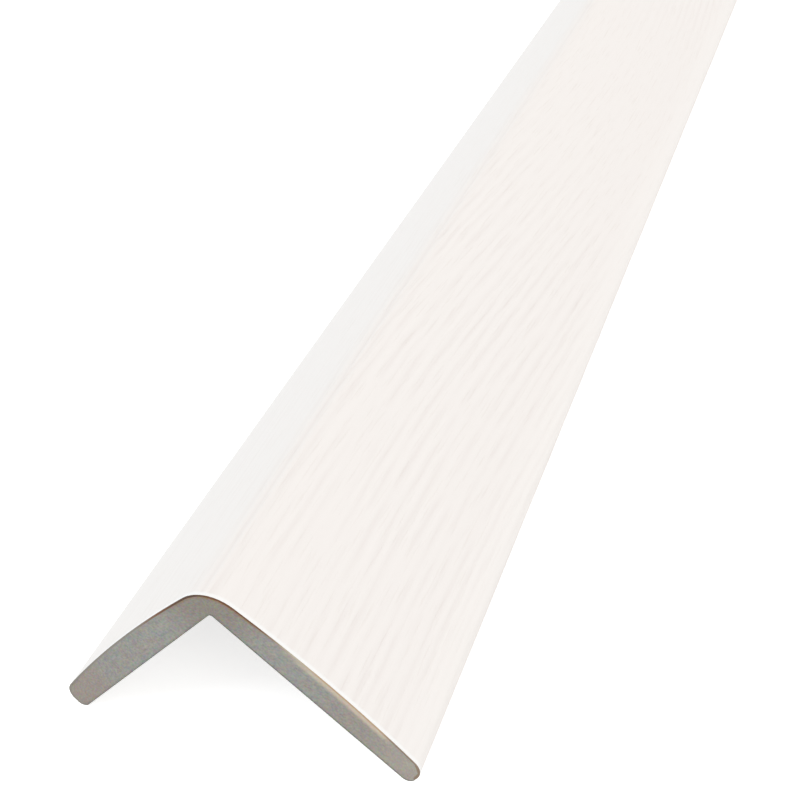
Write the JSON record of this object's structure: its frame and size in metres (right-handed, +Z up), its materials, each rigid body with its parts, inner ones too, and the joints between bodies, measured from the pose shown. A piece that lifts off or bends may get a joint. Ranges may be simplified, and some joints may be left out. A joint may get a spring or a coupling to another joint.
{
  "type": "corner trim",
  "caption": "Right-angle corner trim with crowned faces, a rounded outer corner and an embossed wood-grain film on a fibreboard core, to cover the outside corner of a wall.",
  "frame": {"origin": "on the floor, under the middle of the trim", "axes": "+X along the length, away from the pictured end; +Z up, to the rounded outer corner; Y across"},
  "size_m": [1, 0.0374, 0.0194],
  "materials": {
    "core_fibreboard": "grey-brown fibreboard, sawn at the ends and sanded on the inner faces",
    "film_wood_grain": "cream-white PVC decor film, satin, with embossed wood grain along the length"
  },
  "bodies": {
    "root": {"core": "core_fibreboard", "decor_film": "film_wood_grain"}
  },
  "joints": []
}
